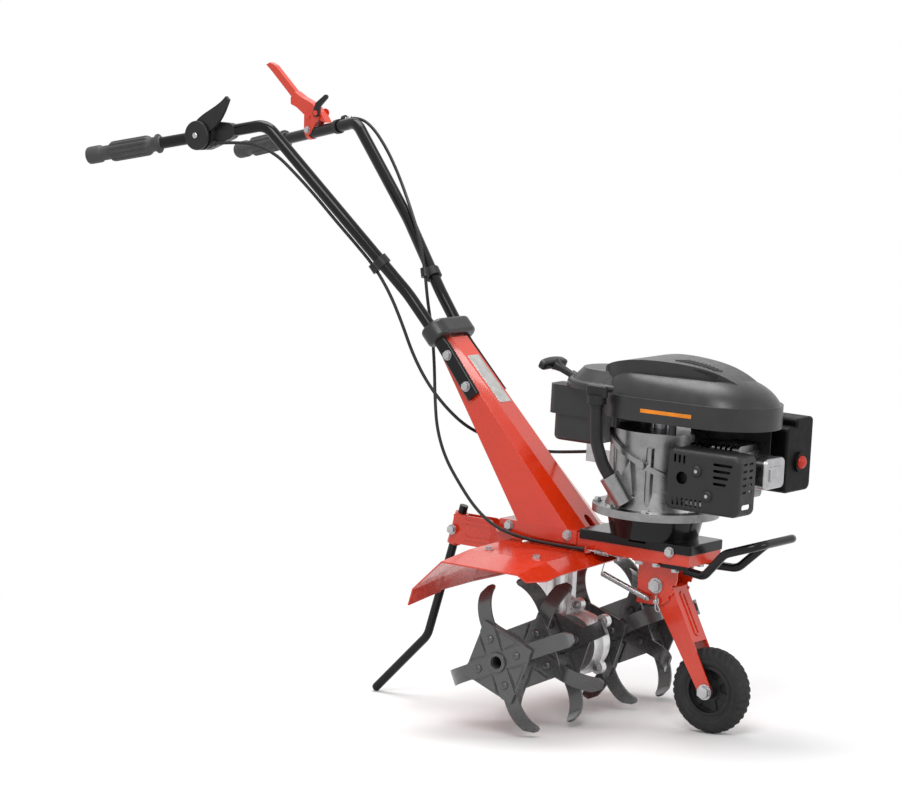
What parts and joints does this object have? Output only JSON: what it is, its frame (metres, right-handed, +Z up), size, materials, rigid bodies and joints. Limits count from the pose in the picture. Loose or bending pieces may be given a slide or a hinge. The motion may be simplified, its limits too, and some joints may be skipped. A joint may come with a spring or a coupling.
{
  "type": "garden tiller",
  "caption": "Petrol garden tiller: vertical-shaft engine on a red chassis, worm-driven tine rotors under a guard, folding front wheel, depth bar and two-arm handle with levers.",
  "frame": {"origin": "floor point under the middle of the machine's length and width", "axes": "+X forward toward the front wheel, +Y to the operator's left, +Z up"},
  "size_m": [1.3554, 0.536, 1.1645],
  "materials": {
    "red_paint": "gloss red paint",
    "black_paint": "gloss black paint",
    "tine_paint": "satin black paint",
    "black_plastic": "fine-grained black",
    "cast_alloy": "as-cast alloy",
    "steel": "bright steel",
    "zinc": "zinc-plated",
    "bronze": "bronze",
    "rubber": "matt black rubber",
    "tyre_rubber": "matt black",
    "primer_rubber": "red rubber"
  },
  "bodies": {
    "frame": {"chassis": "red_paint", "main_column": "red_paint", "tine_guard": "red_paint", "rear_bracket": "red_paint", "wheel_bracket": "red_paint", "clutch_bracket": "red_paint", "engine_deck": "black_paint", "bumper_bar": "black_paint", "handle_tube_right": "black_paint", "handle_tube_left": "black_paint", "muffler_guard": "tine_paint", "handle_collar": "black_plastic", "cable_clips": "black_plastic", "throttle_housing": "black_plastic", "blower_housing": "black_plastic", "fuel_tank": "black_plastic", "oil_filler_tube": "black_plastic", "air_filter_box": "black_plastic", "clutch_cable": "black_plastic", "throttle_cable": "black_plastic", "gear_case_right": "cast_alloy", "gear_case_left": "cast_alloy", "crankcase": "cast_alloy", "cylinder_head": "cast_alloy", "valve_cover": "cast_alloy", "carburettor": "cast_alloy", "muffler": "steel", "control_bracket": "steel", "frame_bolts": "zinc", "wheel_leg_spring": "zinc", "handle_grips": "rubber", "drive_belt": "rubber"},
    "tines": {"tine_axle": "steel", "worm_wheel": "bronze", "tine_hub_inner_right": "tine_paint", "tine_hub_inner_left": "tine_paint", "tine_hub_outer_right": "tine_paint", "tine_hub_outer_left": "tine_paint", "tine_blades_inner_right": "tine_paint", "tine_blades_inner_left": "tine_paint", "tine_blades_outer_right": "tine_paint", "tine_blades_outer_left": "tine_paint"},
    "worm": {"worm_shaft": "steel", "driven_pulley": "steel"},
    "crank": {"crankshaft": "steel", "engine_pulley": "steel"},
    "idler_arm": {"idler_arm": "steel"},
    "idler_pulley": {"idler_pulley": "black_plastic"},
    "wheel_leg": {"wheel_leg": "red_paint", "wheel_axle": "zinc"},
    "wheel": {"wheel_rim": "black_plastic", "wheel_tyre": "tyre_rubber"},
    "clutch_lever": {"clutch_lever": "red_paint"},
    "lock_lever": {"lock_lever": "black_plastic"},
    "throttle_lever": {"throttle_lever": "black_plastic"},
    "recoil_handle": {"recoil_handle": "black_plastic"},
    "depth_bar": {"depth_bar": "black_paint"},
    "primer_bulb": {"primer_bulb": "primer_rubber"},
    "fuel_cap": {"fuel_cap": "black_plastic"},
    "oil_cap": {"oil_cap": "black_plastic"}
  },
  "joints": [
    {"name": "tine_axle_spin", "type": "hinge", "parent": "frame", "child": "tines", "pos_m": [0.26365, 0, 0.13442], "axis": [0, 1, 0], "continuous": true},
    {"name": "worm_shaft_spin", "type": "hinge", "parent": "frame", "child": "worm", "pos_m": [0.21775, 0, 0.13739], "axis": [0.0645, 0, 0.9979], "continuous": true},
    {"name": "crank_spin", "type": "hinge", "parent": "frame", "child": "crank", "pos_m": [0.42061, 0, 0.31466], "axis": [0.0645, 0, 0.9979], "continuous": true},
    {"name": "clutch_lever_pivot", "type": "hinge", "parent": "frame", "child": "clutch_lever", "pos_m": [-0.45242, 0.17293, 1.06153], "axis": [0, -1, 0], "range_deg": [0, 45], "stiffness_Nm_per_rad": 2, "springref_deg": -11.46},
    {"name": "idler_arm_swing", "type": "hinge", "parent": "frame", "child": "idler_arm", "pos_m": [0.36437, 0, 0.32832], "axis": [0.0645, 0, 0.9979], "range_deg": [-13, 0]},
    {"name": "idler_pulley_spin", "type": "hinge", "parent": "idler_arm", "child": "idler_pulley", "pos_m": [0.31589, 0, 0.32244], "axis": [0.0645, 0, 0.9979], "continuous": true},
    {"name": "lock_lever_pivot", "type": "hinge", "parent": "frame", "child": "lock_lever", "pos_m": [-0.42992, 0.156, 1.06859], "axis": [0, -1, 0], "range_deg": [0, 25], "stiffness_Nm_per_rad": 0.1, "springref_deg": -11.46},
    {"name": "throttle_lever_pivot", "type": "hinge", "parent": "frame", "child": "throttle_lever", "pos_m": [-0.43897, -0.191, 1.03233], "axis": [0, -1, 0], "range_deg": [0, 50]},
    {"name": "wheel_leg_pivot", "type": "hinge", "parent": "frame", "child": "wheel_leg", "pos_m": [0.44381, 0, 0.25504], "axis": [0, -1, 0], "range_deg": [0, 55]},
    {"name": "wheel_spin", "type": "hinge", "parent": "wheel_leg", "child": "wheel", "pos_m": [0.54094, 0, 0.0757], "axis": [0, 1, 0], "continuous": true},
    {"name": "depth_bar_slide", "type": "slide", "parent": "frame", "child": "depth_bar", "axis": [0.314, 0, 0.9494], "range_m": [0, 0.1]},
    {"name": "recoil_handle_pull", "type": "slide", "parent": "frame", "child": "recoil_handle", "axis": [-0.8936, 0, 0.4489], "range_m": [0, 0.1], "stiffness_N_per_m": 40, "springref_m": -0.03},
    {"name": "primer_press", "type": "slide", "parent": "frame", "child": "primer_bulb", "axis": [-0.9979, 0, 0.0645], "range_m": [0, 0.004], "stiffness_N_per_m": 500, "springref_m": -0.001},
    {"name": "fuel_cap_turn", "type": "hinge", "parent": "frame", "child": "fuel_cap", "pos_m": [0.26456, 0.084, 0.61336], "axis": [0.0645, 0, 0.9979], "range_deg": [0, 90]},
    {"name": "oil_cap_turn", "type": "hinge", "parent": "frame", "child": "oil_cap", "pos_m": [0.37185, -0.112, 0.58337], "axis": [0.0645, 0, 0.9979], "range_deg": [0, 90]}
  ],
  "couplings": [
    {"joint": "worm_shaft_spin", "follows": "tine_axle_spin", "ratio": -24},
    {"joint": "idler_arm_swing", "follows": "clutch_lever_pivot", "ratio": -0.28889}
  ]
}
